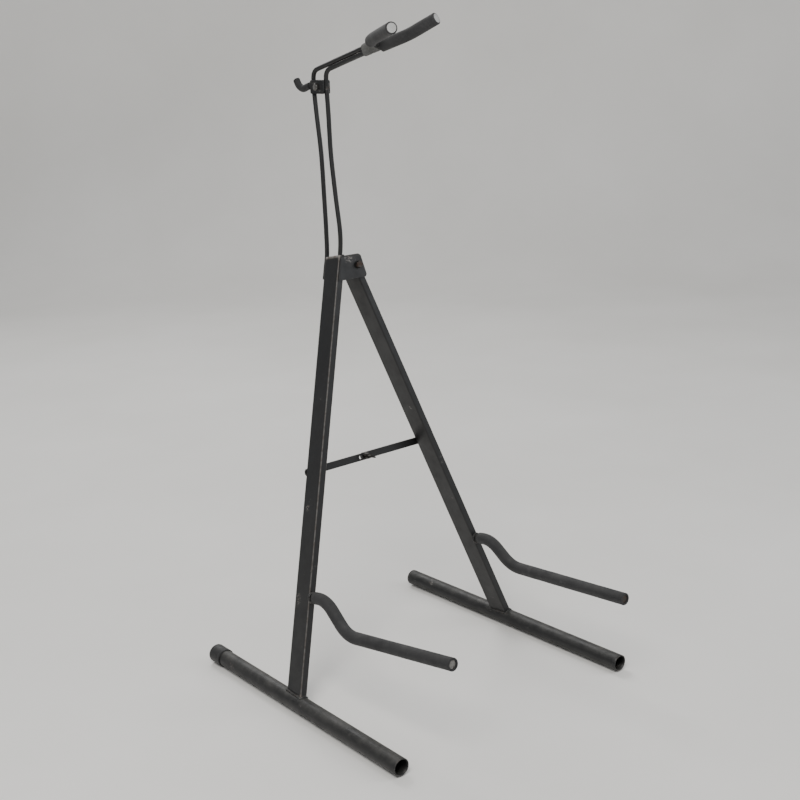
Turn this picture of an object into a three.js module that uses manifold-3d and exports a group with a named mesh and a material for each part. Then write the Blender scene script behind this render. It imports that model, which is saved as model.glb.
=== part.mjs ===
// Folding A-frame guitar rack, in millimetres. +Z up, the guitar faces -Y, the leg that
// carries the neck rest stands on the -X side and the folding leg on the +X side.
import * as THREE from 'three';
import { mergeVertices } from 'three/addons/utils/BufferGeometryUtils.js';
import Module from 'manifold-3d';

const wasm = await Module();
wasm.setup();

// ---- driving dimensions ----
const GAP = 0.3;                 // air left between separate pieces
const SLIP = 0.4;                // air left round a rod inside its sleeve
const FOOT = { r: 11, wall: 1.5, halfTrack: 187 };
const BAR = {                    // the near bar was welded on a little askew
  near: { front: 210, rear: 190, turn: 2 },
  far: { front: 217, rear: 195, turn: 0 },
};
const CAP = { wall: 1.2, length: 25, end: 2 };
const LEG = { width: 10, depth: 30, wall: 1.5, corner: 1.5, length: 559, backwardLean: 11.63 };
const HINGE = { x: 13, height: 530.9, boltR: 3, headR: 5, top: 12, below: 17, plate: 2.5 };
const ARM = { rodR: 5.5, sleeveR: 8, root: 126, shoulder: 28.5, elbowY: -58, bare: 7 };
const REACH = {                  // the two arms have been bent unevenly in use
  near: { drop: 29.8, rise: 8.8, tipY: -247.5 },
  far: { drop: 22.5, rise: 3.8, tipY: -256.5 },
};
const NECK = { rodR: 3, tail: 27, footSpread: 31.6, topSpread: 26, rise: 15 };
const CLAMP = { y: 138, z: 761, width: 27, height: 17, plate: 2.5, boltR: 2.5 };
const YOKE = { sleeveR: 7.5, sleeve: 82, bindingLength: 24, forkY: 42, forkRise: 42.6 };
const PRONG = {                  // where each prong bends and ends, upwards from the clamp
  near: { elbow: [-10, 20, 57.5], tip: [-38, -48, 69.5] },
  far: { elbow: [20.9, -12, 61.6], tip: [33.2, -48, 79.3] },
};
const HOOK = { rodR: 3, sleeveR: 4.6, bare: 3 };
const BRACE = { height: 277, barWidth: 9.5, barThick: 2.5, standoff: 0.5, holeR: 2.8, spareHole: 9 };

const lean = THREE.MathUtils.degToRad(LEG.backwardLean);
const footX = FOOT.halfTrack;
const splay = Math.atan2(footX - HINGE.x, HINGE.height);
// The legs and brace are drawn in an upright plane; legPlane tips that plane back about the feet.
const legPlane = new THREE.Matrix4().makeTranslation(0, 0, FOOT.r)
  .multiply(new THREE.Matrix4().makeRotationX(-lean));
const inLegPlane = (x, y, v) => new THREE.Vector3(x, y, v).applyMatrix4(legPlane);
const legAxisX = (v) => footX - v * Math.tan(splay);
const sideOf = (word) => (word === 'near' ? -1 : 1);

// ---- colours ----
const finish = (color, roughness, metalness) => ({ color, roughness, metalness });
const PAINT = finish(0x1c1c1e, 0.5, 0.3);
const SLEEVE = finish(0x37373a, 0.85, 0.0);
const BINDING = finish(0x6f706e, 0.75, 0.0);
const STEEL = finish(0x77746e, 0.45, 0.9);
const RUSTY = finish(0x57443a, 0.7, 0.6);

const rack = new THREE.Group();
rack.name = 'guitar_rack';
function add(name, geometry, look) {
  const mesh = new THREE.Mesh(geometry, new THREE.MeshStandardMaterial(look));
  mesh.name = name;
  rack.add(mesh);
  return mesh;
}

// ---- solid helpers ----
function solid(geometry) {
  const g = geometry.clone();
  g.deleteAttribute('normal');
  g.deleteAttribute('uv');
  const m = mergeVertices(g, 1e-4);
  return new wasm.Manifold(new wasm.Mesh({
    numProp: 3,
    vertProperties: new Float32Array(m.attributes.position.array),
    triVerts: new Uint32Array(m.index.array),
  }));
}
function geometryOf(manifold) {
  const mesh = manifold.getMesh();
  const g = new THREE.BufferGeometry();
  g.setAttribute('position', new THREE.BufferAttribute(new Float32Array(mesh.vertProperties), 3));
  g.setIndex(new THREE.BufferAttribute(new Uint32Array(mesh.triVerts), 1));
  g.computeVertexNormals();
  return g;
}
const cut = (body, ...tools) =>
  geometryOf(tools.reduce((left, tool) => left.subtract(solid(tool)), solid(body)));
const join = (first, ...others) =>
  geometryOf(others.reduce((sum, piece) => sum.add(solid(piece)), solid(first)));

function circle(r, sides, hole = 0) {
  const ring = (radius, count) => Array.from({ length: count }, (_, i) => {
    const a = (2 * Math.PI * (i + 0.5)) / count;
    return new THREE.Vector2(radius * Math.cos(a), radius * Math.sin(a));
  });
  const shape = new THREE.Shape(ring(r, sides));
  if (hole > 0) shape.holes.push(new THREE.Path(ring(hole, Math.max(sides, 16)).reverse()));
  return shape;
}
function roundedRect(w, h, r) {
  const s = new THREE.Shape();
  s.absarc(w / 2 - r, h / 2 - r, r, 0, Math.PI / 2);
  s.absarc(-w / 2 + r, h / 2 - r, r, Math.PI / 2, Math.PI);
  s.absarc(-w / 2 + r, -h / 2 + r, r, Math.PI, 1.5 * Math.PI);
  s.absarc(w / 2 - r, -h / 2 + r, r, 1.5 * Math.PI, 2 * Math.PI);
  return s;
}
const prism = (shape, length, curveSegments = 3) =>
  new THREE.ExtrudeGeometry(shape, { depth: length, bevelEnabled: false, curveSegments });
// A turned piece round local +Y, its profile given from the low end to the high end.
const turned = (profile, sides) =>
  new THREE.LatheGeometry(profile.map(([r, y]) => new THREE.Vector2(r, y)), sides);
// A round bar along local +Y, from y0 to y1.
function pinAlongY(r, y0, y1, sides = 16, hole = 0) {
  return prism(circle(r, sides, hole), y1 - y0).rotateX(-Math.PI / 2).translate(0, y0, 0);
}

// A wire made of straight runs with rounded corners, or one smooth curve. Its stations are
// the lengths at which cross-sections stand, shared by the wire and by every sleeve on it.
function bentWire(points, bend, bendSteps = 5) {
  const path = new THREE.CurvePath();
  const stations = [];
  let from = points[0];
  for (let i = 1; i < points.length - 1; i += 1) {
    const corner = points[i];
    const towards = (p) => corner.clone().add(p.clone().sub(corner).setLength(bend));
    const inner = towards(points[i - 1]);
    const outer = towards(points[i + 1]);
    const arc = new THREE.QuadraticBezierCurve3(inner, corner, outer);
    path.add(new THREE.LineCurve3(from, inner));
    const arcStart = path.getLength();
    path.add(arc);
    for (let k = 0; k <= bendSteps; k += 1) stations.push(arcStart + (k / bendSteps) * arc.getLength());
    path.updateArcLengths();
    from = outer;
  }
  path.add(new THREE.LineCurve3(from, points[points.length - 1]));
  path.updateArcLengths();
  return { path, stations, total: path.getLength() };
}
function smoothWire(points, steps) {
  const path = new THREE.CatmullRomCurve3(points);
  const total = path.getLength();
  return { path, total, stations: Array.from({ length: steps - 1 }, (_, i) => (total * (i + 1)) / steps) };
}
// The stretch of a wire between two lengths measured from its start.
class Stretch extends THREE.Curve {
  constructor(wire, start, end) {
    super();
    this.wire = wire;
    this.stations = [start, ...wire.stations.filter((s) => s > start + 0.4 && s < end - 0.4), end];
  }
  getPoint(t, target = new THREE.Vector3()) {
    const at = THREE.MathUtils.clamp(t, 0, 1) * (this.stations.length - 1);
    const i = Math.min(Math.floor(at), this.stations.length - 2);
    const length = THREE.MathUtils.lerp(this.stations[i], this.stations[i + 1], at - i);
    const u = THREE.MathUtils.clamp(length / this.wire.total, 0, 1);
    return target.copy(this.wire.path.getPointAt(u));
  }
  getPointAt(u, target) {
    return this.getPoint(u, target);
  }
  getTangentAt(u, target) {
    return this.getTangent(u, target);
  }
}
function alongWire(shape, wire, start = 0, end = wire.total) {
  const extrudePath = new Stretch(wire, start, end);
  const steps = extrudePath.stations.length - 1;
  return new THREE.ExtrudeGeometry(shape, { steps, bevelEnabled: false, extrudePath });
}
// A sleeve slipped over a wire; a closed tip leaves that much of it solid at the far end.
function sleeveOn(wire, start, end, outerR, rodR, closedTip = 0) {
  if (closedTip === 0) return alongWire(circle(outerR, 20, rodR + SLIP), wire, start, end);
  return cut(alongWire(circle(outerR, 20), wire, start, end),
    alongWire(circle(rodR + SLIP, 14), wire, Math.max(start - 4, 0), end - closedTip));
}

// ---- feet ----
// Anything drawn along a foot bar's own axis is placed, and turned, with that bar.
const onBar = (word, geometry) => geometry.rotateZ(-THREE.MathUtils.degToRad(BAR[word].turn))
  .translate(sideOf(word) * footX, 0, FOOT.r);
function footBar(word) {
  const { front, rear } = BAR[word];
  return onBar(word, pinAlongY(FOOT.r, -front, rear - CAP.end, 32, FOOT.r - FOOT.wall));
}
function footCap() {
  const inner = FOOT.r + GAP;
  const outer = inner + CAP.wall;
  const floor = CAP.length - CAP.end + GAP;
  const profile = [[0, floor], [inner, floor], [inner, 0], [outer, 0],
    [outer, CAP.length - 1.5], [outer - 1.5, CAP.length], [0, CAP.length]];
  return onBar('near', turned(profile, 32).translate(0, BAR.near.rear - CAP.length, 0));
}
function footPlug() {
  const inner = FOOT.r - FOOT.wall - GAP;
  const profile = [[0, -14], [inner, -14], [inner, GAP], [FOOT.r, GAP],
    [FOOT.r, CAP.end - 1], [FOOT.r - 1, CAP.end], [0, CAP.end]];
  return onBar('far', turned(profile, 32).translate(0, BAR.far.rear - CAP.end, 0));
}

// ---- legs ----
function legTube(word, length) {
  const side = sideOf(word);
  const shape = roundedRect(LEG.width, LEG.depth, LEG.corner);
  shape.holes.push(roundedRect(LEG.width - 2 * LEG.wall, LEG.depth - 2 * LEG.wall, 0.8));
  const tube = prism(shape, length).rotateY(-side * splay).translate(side * footX, 0, 0);
  return tube.applyMatrix4(legPlane);
}
const footSaddle = (word) => onBar(word, pinAlongY(FOOT.r + GAP, -60, 60, 32));
const atHinge = (geometry) => geometry.translate(HINGE.x, 0, HINGE.height).applyMatrix4(legPlane);
const bracePivotX = legAxisX(BRACE.height);
const atBrace = (geometry, x) => geometry.translate(x, 0, BRACE.height).applyMatrix4(legPlane);

function nearLeg() {
  const rivetHole = atBrace(pinAlongY(BRACE.holeR, LEG.depth / 2 - 4, LEG.depth / 2 + 4), -bracePivotX);
  return cut(legTube('near', LEG.length + 15), footSaddle('near'), rivetHole);
}
function farLeg() {
  const boltHole = atHinge(pinAlongY(HINGE.boltR + GAP, -LEG.depth, LEG.depth));
  return cut(legTube('far', LEG.length + 8), footSaddle('far'), boltHole);
}

// ---- hinge at the top ----
const cheekY = LEG.depth / 2 + GAP;
// Cheeks cut to follow both legs, joined by a web over the folding leg's top.
function hingeBracket() {
  const { below, top, plate } = HINGE;
  const roof = top + plate;
  const nearLegX = (z) => -HINGE.x - legAxisX(HINGE.height + z);
  const legHalf = LEG.width / 2 / Math.cos(splay);
  const nearEdge = (z) => nearLegX(z) + legHalf + GAP;
  const outerEdge = (z) => nearLegX(z) - legHalf + 1;
  const farEdge = (z) => 9.5 - 0.2 * z;
  const cheek = (y, edge) => {
    const shape = new THREE.Shape([
      [edge(-below), -below], [farEdge(-below) - 3, -below], [farEdge(3 - below), 3 - below],
      [farEdge(roof - 2), roof - 2], [farEdge(roof) - 2, roof], [edge(roof), roof],
    ].map(([x, z]) => new THREE.Vector2(x, z)));
    shape.holes.push(new THREE.Path(circle(HINGE.boltR + GAP, 16).getPoints().reverse()));
    return prism(shape, plate).rotateX(Math.PI / 2).translate(0, y + plate, 0);
  };
  const webLength = farEdge(roof) - 2 - nearEdge(roof);
  const web = new THREE.BoxGeometry(webLength, 2 * (cheekY + plate), plate)
    .translate(nearEdge(roof) + webLength / 2, 0, top + plate / 2);
  return atHinge(join(cheek(cheekY, nearEdge), cheek(-cheekY - plate, outerEdge), web));
}
const faceOut = cheekY + HINGE.plate;
function hingeBolt() {
  const head = pinAlongY(HINGE.headR, -faceOut - GAP - 4, -faceOut - GAP, 6);
  const shank = pinAlongY(HINGE.boltR, -faceOut - GAP - 1, faceOut + 7, 16);
  return atHinge(join(head, shank));
}
function hingeNut() {
  return atHinge(pinAlongY(HINGE.headR, faceOut + GAP, faceOut + GAP + 5, 6, HINGE.boltR + GAP));
}

// ---- guitar arms ----
// Each arm leaves the front of its leg square, drops, then runs forward and slightly up.
function armWire(word) {
  const { drop, rise, tipY } = REACH[word];
  const x = sideOf(word) * legAxisX(ARM.root);
  const root = inLegPlane(x, -LEG.depth / 2 - GAP, ARM.root);
  const shoulder = inLegPlane(x, -LEG.depth / 2 - ARM.shoulder, ARM.root);
  const low = root.z - drop;
  const climb = (ARM.elbowY - tipY) * Math.tan(THREE.MathUtils.degToRad(rise));
  return bentWire([root, shoulder,
    new THREE.Vector3(x, ARM.elbowY, low),
    new THREE.Vector3(x, tipY, low + climb),
  ], 17);
}

// ---- neck ----
// End +1 is the rear rod of the pair and -1 the front one.
const neckFoot = HINGE.height + HINGE.top + HINGE.plate;
function lowerNeckWire(end) {
  const out = end > 0 ? LEG.depth / 2 + 2 * GAP + NECK.rodR : 2 * GAP + NECK.rodR + LEG.wall - LEG.depth / 2;
  const onLeg = (v) => inLegPlane(-legAxisX(v), out, v);
  const rodsApart = [[0.14, 0.92], [0.37, 0.76], [0.62, 0.64], [0.85, 0.78], [1, 0.84]];
  const foot = inLegPlane(-legAxisX(neckFoot), 0, neckFoot);
  const head = new THREE.Vector3(0, CLAMP.y, CLAMP.z - 2);
  const rising = rodsApart.map(([t, share]) => foot.clone().lerp(head, t)
    .add(new THREE.Vector3(0, (end * share * NECK.footSpread) / 2, 0)));
  return smoothWire([onLeg(neckFoot - NECK.tail), onLeg(neckFoot - 12),
    onLeg(neckFoot + 3), ...rising], 20);
}
// The rear rod lies on top of the front rod on the way to the fork.
function upperNeckWire(end) {
  const y = CLAMP.y + (end * NECK.topSpread) / 2;
  const forkZ = YOKE.forkRise + (end > 0 ? 2 * NECK.rodR + 0.5 : 0);
  const bendZ = forkZ - (y - YOKE.forkY) * Math.tan(THREE.MathUtils.degToRad(NECK.rise));
  const { elbow, tip } = PRONG[end > 0 ? 'near' : 'far'];
  return bentWire([[0, y, -1.5], [0, y, bendZ], [0, YOKE.forkY, forkZ], elbow, tip]
    .map(([px, py, rise]) => new THREE.Vector3(px, py, CLAMP.z + rise)), 10);
}
function clampPlate(side) {
  const shape = roundedRect(CLAMP.width, CLAMP.height, 2);
  shape.holes.push(new THREE.Path(circle(CLAMP.boltR + GAP, 16).getPoints().reverse()));
  return prism(shape, CLAMP.plate).rotateX(Math.PI / 2).rotateZ(Math.PI / 2)
    .translate(side > 0 ? NECK.rodR + GAP : -NECK.rodR - GAP - CLAMP.plate, CLAMP.y, CLAMP.z);
}
const acrossClamp = (geometry) => geometry.rotateZ(-Math.PI / 2).translate(0, CLAMP.y, CLAMP.z);
const clampFace = NECK.rodR + GAP + CLAMP.plate;
function clampBolt() {
  const head = pinAlongY(4.5, -clampFace - GAP - 3, -clampFace - GAP, 6);
  return acrossClamp(join(head, pinAlongY(CLAMP.boltR, -clampFace - GAP - 1, clampFace + 6, 16)));
}
function clampNut() {
  return acrossClamp(pinAlongY(4.5, clampFace + GAP, clampFace + GAP + 4, 6, CLAMP.boltR + GAP));
}
function yokeBinding() {
  const pipe = (end, r, over) => {
    const wire = upperNeckWire(end);
    const last = wire.total - YOKE.sleeve - 1;
    return alongWire(circle(r, 18), wire, last - YOKE.bindingLength - over, last + over);
  };
  return cut(join(pipe(1, 5, 0), pipe(-1, 5, 0)),
    pipe(1, NECK.rodR + GAP, 4), pipe(-1, NECK.rodR + GAP, 4));
}
function hookWire() {
  const y = CLAMP.y + NECK.topSpread / 2 + NECK.rodR + 3 * GAP;
  return smoothWire([[0, 2], [9, 0], [19, -2.5], [27, 1], [33, 9]]
    .map(([back, rise]) => new THREE.Vector3(0, y + back, CLAMP.z + rise)), 12);
}

// ---- folding brace ----
const barFront = LEG.depth / 2 + BRACE.standoff;
const barNext = barFront + BRACE.barThick + GAP;
function braceBar(fromX, toX, frontY, holes) {
  const endR = BRACE.barWidth / 2 / Math.sin(0.3 * Math.PI);
  const left = Math.min(fromX, toX);
  const right = Math.max(fromX, toX);
  const shape = new THREE.Shape();
  shape.absarc(right, 0, endR, -Math.PI * 0.3, Math.PI * 0.3);
  shape.absarc(left, 0, endR, Math.PI * 0.7, Math.PI * 1.3);
  for (const x of holes) {
    const ring = circle(BRACE.holeR, 14).getPoints().map((p) => p.setX(p.x + x));
    shape.holes.push(new THREE.Path(ring.reverse()));
  }
  return atBrace(prism(shape, BRACE.barThick, 8).rotateX(Math.PI / 2)
    .translate(0, frontY + BRACE.barThick, 0), 0);
}
function braceRivet(side, innerY, barY) {
  const face = barY + BRACE.barThick + GAP;
  const dome = turned([[0, face], [4.5, face], [4.3, face + 0.5], [2.6, face + 1.7], [0, face + 2.2]], 20);
  const shank = pinAlongY(BRACE.holeR - GAP, innerY, face + 1, 16);
  const pieces = [dome, shank];
  if (side > 0) pieces.push(pinAlongY(4, innerY, barY - GAP, 16));
  return atBrace(join(...pieces), side * bracePivotX);
}
function braceBolt() {
  const face = barNext + BRACE.barThick + GAP;
  return atBrace(join(pinAlongY(4.5, face, face + 3, 6),
    pinAlongY(BRACE.holeR - GAP, barFront - 13, face + 1, 16)), 0);
}
function wingNut() {
  const back = barFront - GAP;
  const hub = turned([[0, back - 7], [3.6, back - 7], [4.6, back], [0, back]], 20);
  const wing = new THREE.Shape();
  wing.moveTo(2, 0.4);
  wing.lineTo(4.2, 0.4);
  wing.quadraticCurveTo(9.8, 3.5, 10.2, 8);
  wing.quadraticCurveTo(8.6, 10.6, 6.6, 9.2);
  wing.quadraticCurveTo(5.2, 5.6, 2, 5.6);
  const blade = (turn) => prism(wing, 1.8, 6).translate(0, 0, -0.9).scale(1, -1, 1)
    .scale(1, 1, -1).translate(0, back, 0).rotateY(turn);
  const tilt = THREE.MathUtils.degToRad(25);
  const body = join(hub, blade(tilt), blade(tilt + Math.PI));
  const bore = pinAlongY(BRACE.holeR, back - 20, back + 5, 16);
  return atBrace(cut(body, bore), 0);
}

// ---- assembly ----
for (const word of ['near', 'far']) {
  const wire = armWire(word);
  add(`${word}_foot_bar`, footBar(word), PAINT);
  add(`${word}_leg`, word === 'near' ? nearLeg() : farLeg(), PAINT);
  add(`${word}_arm_rod`,
    alongWire(circle(ARM.rodR, 16), wire, 0, wire.total - 1.5), PAINT);
  add(`${word}_arm_sleeve`,
    sleeveOn(wire, ARM.bare, wire.total, ARM.sleeveR, ARM.rodR), SLEEVE);
}
add('near_foot_cap', footCap(), SLEEVE);
add('far_foot_plug', footPlug(), SLEEVE);
add('hinge_bracket', hingeBracket(), PAINT);
add('hinge_bolt', hingeBolt(), RUSTY);
add('hinge_nut', hingeNut(), STEEL);
for (const [end, word] of [[1, 'rear'], [-1, 'front']]) {
  const wire = upperNeckWire(end);
  const hand = end > 0 ? 'near' : 'far';
  add(`neck_lower_rod_${word}`, alongWire(circle(NECK.rodR, 14), lowerNeckWire(end)), PAINT);
  add(`neck_upper_rod_${word}`, alongWire(circle(NECK.rodR, 14), wire, 0, wire.total - 3), PAINT);
  add(`yoke_sleeve_${hand}`,
    sleeveOn(wire, wire.total - YOKE.sleeve, wire.total, YOKE.sleeveR, NECK.rodR, 2.5), SLEEVE);
}
add('yoke_binding', yokeBinding(), BINDING);
add('clamp_plate_outer', clampPlate(-1), PAINT);
add('clamp_plate_inner', clampPlate(1), PAINT);
add('clamp_bolt', clampBolt(), STEEL);
add('clamp_nut', clampNut(), STEEL);
const hook = hookWire();
add('rear_hook_rod', alongWire(circle(HOOK.rodR, 14), hook, 0, hook.total - 3), PAINT);
add('rear_hook_sleeve', sleeveOn(hook, HOOK.bare, hook.total, HOOK.sleeveR, HOOK.rodR, 2), SLEEVE);
add('brace_bar_near', braceBar(-bracePivotX, 0, barFront, [-bracePivotX, -BRACE.spareHole, 0]), PAINT);
add('brace_bar_far', braceBar(0, bracePivotX, barNext, [0, bracePivotX]), PAINT);
add('brace_rivet_near', braceRivet(-1, LEG.depth / 2 - 6, barFront), STEEL);
add('brace_rivet_far', braceRivet(1, LEG.depth / 2 + GAP, barNext), STEEL);
add('brace_bolt', braceBolt(), STEEL);
add('brace_wing_nut', wingNut(), STEEL);

// The frame's origin is the middle of the footprint, on the floor.
const box = new THREE.Box3().setFromObject(rack);
const middle = box.getCenter(new THREE.Vector3());
for (const mesh of rack.children) mesh.geometry.translate(-middle.x, -middle.y, -box.min.z);

export default rack;
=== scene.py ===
"""Folding A-frame guitar rack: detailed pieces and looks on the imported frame, in metres."""
import math

import bmesh
import bpy
from mathutils import Matrix, Vector, noise


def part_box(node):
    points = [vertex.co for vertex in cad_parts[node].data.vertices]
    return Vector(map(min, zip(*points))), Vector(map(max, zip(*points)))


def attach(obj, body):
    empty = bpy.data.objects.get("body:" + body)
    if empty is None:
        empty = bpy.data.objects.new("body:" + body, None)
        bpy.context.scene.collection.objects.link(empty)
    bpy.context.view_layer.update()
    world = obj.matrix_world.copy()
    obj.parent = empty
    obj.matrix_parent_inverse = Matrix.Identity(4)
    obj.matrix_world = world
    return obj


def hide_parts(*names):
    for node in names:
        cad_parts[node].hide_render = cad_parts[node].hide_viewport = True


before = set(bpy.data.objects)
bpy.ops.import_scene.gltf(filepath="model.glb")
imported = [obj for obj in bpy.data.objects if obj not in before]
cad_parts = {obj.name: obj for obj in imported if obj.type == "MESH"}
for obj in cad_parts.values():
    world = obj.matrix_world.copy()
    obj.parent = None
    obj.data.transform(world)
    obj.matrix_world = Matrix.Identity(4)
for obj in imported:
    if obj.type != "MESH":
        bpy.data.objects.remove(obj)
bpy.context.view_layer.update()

# ---- dimensions, the same as the frame's (only the cap is drawn 0.2 mm slimmer) ----
# BAR is front reach, rear reach and turn of a foot bar. REACH is an arm's drop, its rise and its tip's y.
# PRONG is the elbow and the tip of a yoke prong in mm, measured from the clamp's height.
MM = 0.001
GAP = 0.3 * MM
FOOT_R, FOOT_WALL, HALF_TRACK = 11 * MM, 1.5 * MM, 187 * MM
BAR = {"near": (210 * MM, 190 * MM, math.radians(2)), "far": (217 * MM, 195 * MM, 0.0)}
CAP_END, CAP_LENGTH, CAP_R = 2 * MM, 25 * MM, 12.3 * MM
LEG_W, LEG_D, LEG_WALL, LEG_CORNER, LEG_LENGTH = 10 * MM, 30 * MM, 1.5 * MM, 1.5 * MM, 559 * MM
LEAN = math.radians(11.63)
HINGE_X, HINGE_V, HINGE_HEAD = 13 * MM, 530.9 * MM, 5 * MM
SPLAY = math.atan2(HALF_TRACK - HINGE_X, HINGE_V)
ARM_ROD_R, ARM_SLEEVE_R, ARM_ROOT, ARM_BARE = 5.5 * MM, 8 * MM, 126 * MM, 7 * MM
ARM_SHOULDER, ARM_ELBOW_Y = 28.5 * MM, -58 * MM
REACH = {"near": (29.8 * MM, math.radians(8.8), -247.5 * MM),
         "far": (22.5 * MM, math.radians(3.8), -256.5 * MM)}
ROD_R, TAIL = 3 * MM, 27 * MM
FOOT_SPREAD, TOP_SPREAD, NECK_RISE = 31.6 * MM, 26 * MM, math.radians(15)
CLAMP_Y, CLAMP_Z, CLAMP_W, CLAMP_H, PLATE = 138 * MM, 761 * MM, 27 * MM, 17 * MM, 2.5 * MM
YOKE_R, YOKE_SLEEVE, BINDING_LENGTH = 7.5 * MM, 82 * MM, 24 * MM
FORK_Y, FORK_RISE = 42 * MM, 42.6 * MM
PRONG = {"near": ((-10, 20, 57.5), (-38, -48, 69.5)), "far": ((20.9, -12, 61.6), (33.2, -48, 79.3))}
HOOK_R = 4.6 * MM
BRACE_V, BAR_W, BAR_T = 277 * MM, 9.5 * MM, 2.5 * MM
SIDE = {"near": -1, "far": 1}

# The footprint's middle is the frame's origin; the plug's box says how far the drawing moved.
PLUG_LOW, PLUG_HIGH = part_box("far_foot_plug")
OFFSET = Vector((PLUG_HIGH.x - HALF_TRACK - FOOT_R, PLUG_HIGH.y - BAR["far"][1], PLUG_LOW.z))


def at(x, y, z):
    return OFFSET + Vector((x, y, z))


def on_plane(x, y, v):
    """A point given in the plane of the legs, which leans back about the feet."""
    return at(x, y * math.cos(LEAN) + v * math.sin(LEAN),
              FOOT_R - y * math.sin(LEAN) + v * math.cos(LEAN))


def leg_x(v):
    return HALF_TRACK - v * math.tan(SPLAY)


PLANE_X = Vector((1, 0, 0))
PLANE_BACK = on_plane(0, 1, 0) - on_plane(0, 0, 0)
PLANE_UP = on_plane(0, 0, 1) - on_plane(0, 0, 0)


# ---- materials ----
class Shader:
    """A small helper for building one material's nodes."""

    def __init__(self, name):
        self.mat = bpy.data.materials.new(name)
        self.mat.use_nodes = True
        self.tree = self.mat.node_tree
        self.bsdf = self.tree.nodes["Principled BSDF"]
        self.coords = self.add("ShaderNodeTexCoord").outputs["Object"]

    def add(self, kind, **settings):
        node = self.tree.nodes.new(kind)
        for key, value in settings.items():
            setattr(node, key, value)
        return node

    def link(self, source, target):
        self.tree.links.new(source, target)

    def put(self, socket, value):
        if isinstance(value, (int, float, tuple)):
            socket.default_value = value
        else:
            self.link(value, socket)

    def scaled(self, scale, turn=(0, 0, 0)):
        node = self.add("ShaderNodeMapping")
        self.link(self.coords, node.inputs["Vector"])
        node.inputs["Scale"].default_value = scale
        node.inputs["Rotation"].default_value = turn
        return node.outputs["Vector"]

    def noise(self, scale, detail=4.0, rough=0.55, vector=None):
        node = self.add("ShaderNodeTexNoise")
        self.link(vector or self.coords, node.inputs["Vector"])
        node.inputs["Scale"].default_value = scale
        node.inputs["Detail"].default_value = detail
        node.inputs["Roughness"].default_value = rough
        return node.outputs["Fac"]

    def spread(self, value, low, high, to_low=0.0, to_high=1.0):
        node = self.add("ShaderNodeMapRange", clamp=True)
        self.put(node.inputs["Value"], value)
        for key, number in (("From Min", low), ("From Max", high), ("To Min", to_low), ("To Max", to_high)):
            node.inputs[key].default_value = number
        return node.outputs["Result"]

    def math(self, operation, a, b=0.0):
        node = self.add("ShaderNodeMath", operation=operation, use_clamp=operation in ("MULTIPLY", "ADD"))
        self.put(node.inputs[0], a)
        self.put(node.inputs[1], b)
        return node.outputs[0]

    def mix(self, factor, a, b):
        node = self.add("ShaderNodeMix", data_type="RGBA")
        self.put(node.inputs["Factor"], factor)
        self.put(node.inputs["A"], a if not isinstance(a, tuple) else (*a, 1.0))
        self.put(node.inputs["B"], b if not isinstance(b, tuple) else (*b, 1.0))
        return node.outputs["Result"]

    def facing_up(self):
        geometry = self.add("ShaderNodeNewGeometry")
        split = self.add("ShaderNodeSeparateXYZ")
        self.link(geometry.outputs["Normal"], split.inputs[0])
        return self.spread(split.outputs["Z"], 0.25, 0.95)

    def edges(self, low=0.53, high=0.6):
        return self.spread(self.add("ShaderNodeNewGeometry").outputs["Pointiness"], low, high)

    def bump(self, height, strength, distance=0.0004, normal=None):
        node = self.add("ShaderNodeBump")
        node.inputs["Strength"].default_value = strength
        node.inputs["Distance"].default_value = distance
        self.link(height, node.inputs["Height"])
        if normal is not None:
            self.link(normal, node.inputs["Normal"])
        return node.outputs["Normal"]

    def finish(self, colour, rough, metal=0.0, normal=None, **uniform):
        self.put(self.bsdf.inputs["Base Color"], colour)
        self.put(self.bsdf.inputs["Roughness"], rough)
        self.put(self.bsdf.inputs["Metallic"], metal)
        if normal is not None:
            self.link(normal, self.bsdf.inputs["Normal"])
        for key, value in uniform.items():
            self.bsdf.inputs[key.replace("_", " ")].default_value = value
        return self.mat


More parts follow.
